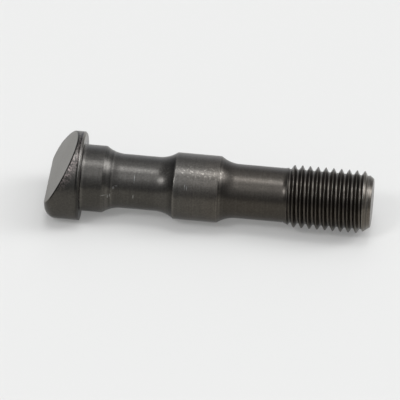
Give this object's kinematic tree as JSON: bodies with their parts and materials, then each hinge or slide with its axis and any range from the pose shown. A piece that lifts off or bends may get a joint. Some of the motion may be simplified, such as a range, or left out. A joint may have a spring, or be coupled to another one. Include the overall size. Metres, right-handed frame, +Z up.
{
  "type": "connecting rod bolt",
  "caption": "Connecting rod bolt with a slanted flat-sided head, pilot shoulders, waisted shank and a threaded end, lying on its side.",
  "frame": {"origin": "bottom centre of the bounding box: on the plane that the bolt lies on, under the middle of its length", "axes": "+X along the bolt from the head to the threaded end, +Z up through the low side of the slanted head, +Y across"},
  "size_m": [0.0624, 0.0176, 0.0153],
  "materials": {
    "dark_steel": "black oxide on turned alloy steel, satin, with bright broken edges"
  },
  "bodies": {
    "root": {"rod_bolt": "dark_steel"}
  },
  "joints": []
}
